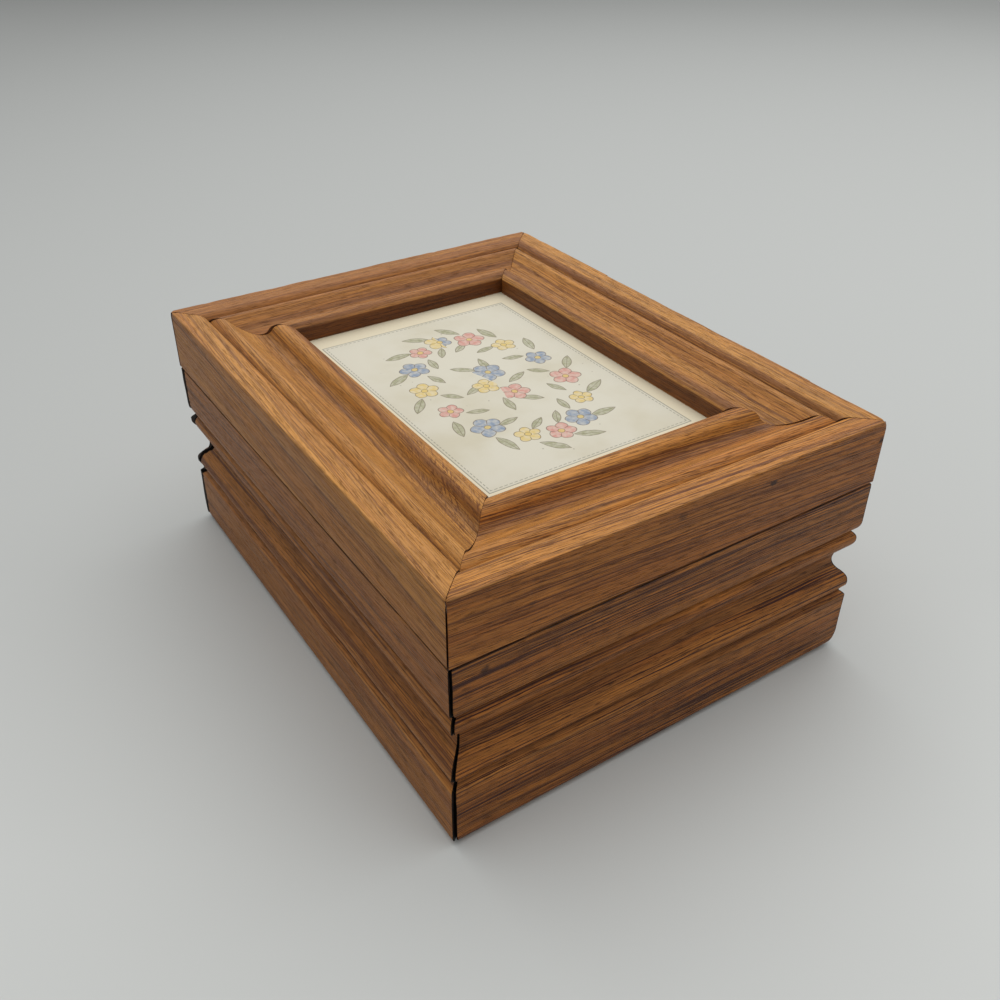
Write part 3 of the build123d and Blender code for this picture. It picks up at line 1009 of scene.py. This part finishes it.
# %% [markdown]
# ## Flowers and leaves
#
# The print is a wreath of small flowers with rounded petals and pointed leaves, in soft washes
# with a thin grey outline. Each motif is worked out from its distance and direction to a middle
# point, as a plotter would draw it, so that it stays sharp at any size of picture.

# %% Flowers and leaves
def add_leaves(paper, wash, spot, tilt, length=4.6, width=1.5):
    """Leaves with a mid vein: inside where |v| < width (1 - (u / length)^2)."""
    u, v = spot.turned(tilt)
    slim, far = calc("DIVIDE", u, length), calc("ABSOLUTE", u)
    edge = calc("SUBTRACT", calc("ABSOLUTE", v), scaled(times(slim, slim), -width, width))
    inside = step(edge, 0.1, -0.1)
    paper = mixed(times(inside, wash), paper, sage)
    vein = times(line_at(v, 0.16), inside, step(far, length, 0.8 * length))
    rim = times(line_at(edge, 0.24), step(far, 1.08 * length, 0.98 * length))
    return mixed(times(calc("MAXIMUM", vein, rim), 0.75), paper, ink)


def add_flowers(paper, wash, spot, size, petals=2.5):
    """Flowers with a round heart, in three colours by their number."""
    distance, angle = spot.polar()
    vary = calc("SINE", times(spot.number, 2.4))
    size = scaled(vary, 0.16 * size, size)
    wave = calc("ABSOLUTE", calc("COSINE", scaled(angle, petals, spot.number)))
    reach = times(size, scaled(wave, 0.3, 0.7))
    edge = calc("SUBTRACT", distance, reach)
    inside = step(edge, 0.08, -0.08)
    third = calc("FRACT", scaled(spot.number, 0.3334, 0.1))
    colour = mixed(step(third, 0.3, 0.34), rose, faded_blue)
    colour = mixed(step(third, 0.63, 0.67), colour, straw)
    paper = mixed(inside, paper, screen(214, 208, 190))
    paper = mixed(times(inside, wash), paper, colour)
    heart = step(distance, 1.05, 0.95)
    paper = mixed(times(heart, 0.8), paper, straw)
    folds = times(step(wave, 0.2, 0.05), inside, step(distance, 1.2, 1.6))
    drawn = calc("MAXIMUM", line_at(edge, 0.26), folds)
    drawn = calc("MAXIMUM", drawn, line_at(calc("SUBTRACT", distance, 1.0), 0.2))
    return mixed(times(drawn, 0.8), paper, ink)


# %% [markdown]
# ## The whole print
#
# The motifs are laid one over another on cream card, inside a ruled border with a dashed line.
# They could be thin pieces of mesh, but ink has no thickness, so they are colour on one sheet.

# %% The whole print
border_half_width, border_half_depth = 50.0, 34.8
wreath = dict(wide=34.0, tall=21.5, count=14)


def printed_card():
    """Cream card with a ruled border, a wreath, an inner posy and a sprinkle of dots."""
    finish, shader, here = new_finish("printed_card")
    level, upright, _ = node("SeparateXYZ", {0: here}).outputs
    shaky = streaks(here, 5.0, 5.0, seed=2.1)
    x = scaled(shaky, 0.9, calc("SUBTRACT", level, 0.45))
    y = scaled(shaky, -0.9, calc("ADD", upright, 0.45))
    mottle = spread(streaks(here, 22.0, 22.0, seed=4.2, detail=4.0), 0.4, 0.75)
    wash = scaled(spread(streaks(here, 1.6, 1.6, seed=7.7, detail=3.0)), 0.5, 0.42)

    paper = mixed(mottle, screen(209, 204, 187), screen(200, 193, 171))
    outer = Spot(x, y, 40.5, 27.0, wreath["count"], phase=0.5)
    paper = add_leaves(paper, wash, outer, tilt=0.9)
    inner = Spot(x, y, 27.5, 15.8, wreath["count"], phase=0.5)
    paper = add_leaves(paper, wash, inner, tilt=2.4, length=3.6, width=1.2)
    paper = add_flowers(paper, wash, Spot(x, y, **wreath), 4.5)
    stems = Spot(x, y, 15.0, 7.6, 6, phase=0.5)
    paper = add_leaves(paper, wash, stems, tilt=0.4, length=4.2, width=1.3)
    paper = add_flowers(paper, wash, Spot(x, y, 8.6, 3.6, 3, phase=0.25), 4.9)

    dots = node("TexVoronoi", {"Vector": here, "Scale": 0.22, "Randomness": 0.9})
    dot = step(dots.outputs["Distance"], 0.075, 0.05)
    out = measure("LENGTH", steer("MULTIPLY", here, (1 / 46.0, 1 / 31.0, 0.0)))
    paper = mixed(times(dot, step(out, 1.05, 0.95), 0.45), paper, ink)

    far_x = calc("SUBTRACT", calc("ABSOLUTE", level), border_half_width)
    far_y = calc("SUBTRACT", calc("ABSOLUTE", upright), border_half_depth)
    from_border = calc("MAXIMUM", far_x, far_y)
    dash = step(calc("PINGPONG", calc("ADD", level, upright), 0.8), 0.22, 0.34)
    stitched = times(dash, line_at(calc("ADD", from_border, 0.95), 0.24))
    ruled = calc("MAXIMUM", line_at(from_border, 0.3), stitched)
    paper = mixed(step(from_border, 0.1, 0.3), paper, screen(220, 209, 182))
    paper = mixed(times(ruled, 0.75), paper, screen(122, 120, 104))

    tooth = streaks(here, 0.25, 0.25, seed=3.9)
    dress(shader, paper, scaled(tooth, 0.2, 0.6), tooth, relief=0.03, strength=0.4)
    shader.inputs["Specular IOR Level"].default_value = 0.25
    return finish


card.data.materials.append(printed_card())
print("card printed inside a border of", 2 * border_half_width, "x", 2 * border_half_depth, "mm")

# %% [markdown]
# ## One recipe for the hidden parts
#
# The hidden parts are finished as well: felt, plywood, hardboard, brass and steel. Each could have
# a finish built up like that of the wood, but they show only when the lid is open or the box is
# turned round. So one recipe serves all of them: two colours mixed by drawn out noise, a speckle,
# and relief from the same noise.

# %% One recipe for the other finishes
def mixed_finish(name, first, second, length, width, seed=0.0, speckle=0.2, rough=(0.5, 0.7),
                 relief=0.05, patch=12.0, **sockets):
    """Two colours in marks of length x width mm and in patches, with relief in mm.

    Rough is the roughness of the first colour and of the second."""
    finish, shader, here = new_finish(name)
    marks = spread(streaks(here, length, width, seed=seed, detail=4.0))
    worn_patch = spread(streaks(here, patch, patch, seed=seed + 4.0), 0.38, 0.66)
    fine = spread(streaks(here, 0.3, 0.3, seed=seed + 9.0))
    share = scaled(worn_patch, 0.45, times(marks, 0.55))
    colour = mixed(share, first, second)
    colour = toned(colour, fine, 1 - speckle, 1 + speckle)
    roughness = scaled(share, rough[1] - rough[0], rough[0])
    dress(shader, colour, roughness, scaled(fine, 0.5, marks), relief)
    for socket, value in sockets.items():
        shader.inputs[socket.replace("_", " ")].default_value = value
    return finish


# %% [markdown]
# ## Felt, boards and metals
#
# The linings are short pile felt: no shine, a soft nap and a faint glow at the edges. The base is
# sanded plywood, the picture's backing is hardboard, the brads are steel, and the hinges are drawn
# brass that has dulled where hands don't rub it. They differ only in the values of the recipe,
# because each is a ground colour with fine noise in its colour, its gloss and its height.

# %% Felt, boards and metals
felt = mixed_finish("wine_felt", screen(112, 36, 38), screen(86, 26, 30), 1.4, 0.5, speckle=0.3,
                    rough=(0.95, 1.0), relief=0.12, patch=18.0, Sheen_Weight=0.35,
                    Sheen_Roughness=0.6, Specular_IOR_Level=0.1)
hardboard = mixed_finish("brown_hardboard", screen(120, 86, 56), screen(98, 68, 44), 2.0, 2.0,
                         seed=2.0, rough=(0.5, 0.7))
plywood = mixed_finish("pale_plywood", screen(206, 174, 128), screen(180, 144, 98), 90.0, 0.8,
                       seed=3.0, speckle=0.08, rough=(0.55, 0.75), relief=0.06, patch=30.0)
brass = mixed_finish("dulled_brass", screen(222, 186, 112), screen(172, 132, 70), 6.0, 0.25,
                     seed=5.0, speckle=0.06, rough=(0.24, 0.5), relief=0.01, patch=3.5,
                     Metallic=1.0)
steel = mixed_finish("grey_steel", screen(176, 176, 178), screen(118, 112, 106), 2.0, 0.4,
                     seed=7.0, speckle=0.08, rough=(0.3, 0.5), relief=0.01, patch=2.0,
                     Metallic=1.0)

backing.data.materials.append(hardboard)
lid_felt.data.materials.append(felt)
base_felt.data.materials.append(felt)
finishes = {"hinge": brass, "screw": brass, "brad": steel, "wedge": steel, "base_panel": plywood}
for name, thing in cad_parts.items():
    for word, finish in finishes.items():
        if word in name:
            thing.data.materials.clear()
            thing.data.materials.append(finish)
            print(name, "is finished as", finish.name)

# %% [markdown]
# ## The picture's surroundings
#
# The box stands on a seamless pale sweep. A flat card would show its edges in some views, so the
# sweep is a wide round floor. Its colour holds painted light and shade: slowly lighter just in
# front of the box and to the camera's right, and darker further away, as paper lit from one window
# looks.

# %% Floor
def floor_sheet(radius=4000.0, rings=24, spokes=96):
    """A round floor: rings of points whose radius grows as the square of their number."""
    ring = np.linspace(0.02, 1, rings)[:, None] ** 2 * radius
    angle = np.linspace(0, 2 * np.pi, spokes, endpoint=False)[None, :]
    points = np.stack([ring * np.cos(angle), ring * np.sin(angle), 0 * ring * angle], -1)
    faces = grid_faces(rings, spokes, closed_columns=True).tolist() + [list(range(spokes))]
    return mesh_object("floor", points.reshape(-1, 3), faces)


floor = floor_sheet()
sweep, shader, place = new_finish("pale_sweep")
from_camera, to_its_right = (-0.831, 0.556, 0.0), (0.556, 0.831, 0.0)
toward_back = measure("DOT_PRODUCT", place, from_camera)
toward_side = measure("DOT_PRODUCT", place, to_its_right)
# Painted light and shade on the floor: lighter near the camera and to its right, darker far away.
painted_light_in_front = ramp(toward_back, -120.0, 0.0, 0.1, 0.0)
painted_shade_behind = ramp(toward_back, 0.0, 1200.0, 0.53, 0.33)
painted_light_sideways = ramp(toward_side, -500.0, 500.0, 0.84, 1.14)
pale = times(calc("ADD", painted_light_in_front, painted_shade_behind), painted_light_sideways)
greenish = {0: times(pale, 0.975), 1: pale, 2: times(pale, 0.975)}
shade = node("CombineColor", greenish).outputs[0]
shader.id_data.links.new(shade, shader.inputs["Base Color"])
shader.inputs["Roughness"].default_value = 0.9
shader.inputs["Specular IOR Level"].default_value = 0.2
floor.data.materials.append(sweep)
print("floor of", len(floor.data.polygons), "faces")

# %% [markdown]
# ## Lamps and world
#
# The light comes from one wide, soft source high above and from pale walls all round, so the
# shadow is broad and its edge is hard to find. A small lamp would draw a sharp edge. The camera
# sees the world a little lighter than the object does, to match the far end of the floor.

# %% Lamps and world
window_place, window_aim = Vector((-320, 240, 1050)), Vector((0, 0, 40))
lamp = bpy.data.lights.new("window", "AREA")
lamp.size = 1900 * MM
lamp.energy = 14.6
window = bpy.data.objects.new("window", lamp)
window.location = window_place * MM
window.rotation_mode = "QUATERNION"
window.rotation_quaternion = (window_aim - window_place).to_track_quat("-Z", "Y")
bpy.context.scene.collection.objects.link(window)

world = bpy.data.worlds.new("studio")
bpy.context.scene.world = world
world.use_nodes = True
backdrop = world.node_tree.nodes["Background"]
backdrop.inputs["Color"].default_value = (1.0, 1.0, 1.0, 1.0)
wall_light, more_for_camera = 0.48, 0.09
seen = node("LightPath", tree=world.node_tree).outputs["Is Camera Ray"]
shown = scaled(seen, more_for_camera, wall_light)
world.node_tree.links.new(shown, backdrop.inputs["Strength"])
print("one lamp, and walls of strength", wall_light)

# %% [markdown]
# ## Camera
#
# The camera could be placed by eye until the outlines agree. Here it was solved from the corners
# of the lid and of the foot, which also gives the lens and the small shift of the picture's
# middle. It stands in front of the box and to its right, about 14 cm above the lid.

# %% Camera
camera_place = Vector((235.99, -155.52, 224.2))
camera_aim = Vector((9.28, -3.82, 40.0))
camera_roll = 0.515
focal_pixels = 1032.95
picture_pixels = 1000
picture_middle = (501.63, 494.12)

lens = bpy.data.cameras.new("camera")
lens.sensor_width = 36.0
lens.lens = focal_pixels / picture_pixels * lens.sensor_width
lens.shift_x = (picture_pixels / 2 - picture_middle[0]) / picture_pixels
lens.shift_y = (picture_middle[1] - picture_pixels / 2) / picture_pixels
lens.clip_start = 0.01
camera = bpy.data.objects.new("camera", lens)
bpy.context.scene.collection.objects.link(camera)
turned = (camera_aim - camera_place).to_track_quat("-Z", "Y").to_matrix().to_4x4()
roll = Matrix.Rotation(math.radians(camera_roll), 4, "Z")
camera.matrix_world = Matrix.Translation(camera_place * MM) @ turned @ roll
bpy.context.scene.camera = camera
bpy.context.scene.view_settings.view_transform = "Standard"
print("lens of", lens.lens, "mm,", (camera_place - camera_aim).length, "mm from where it aims")
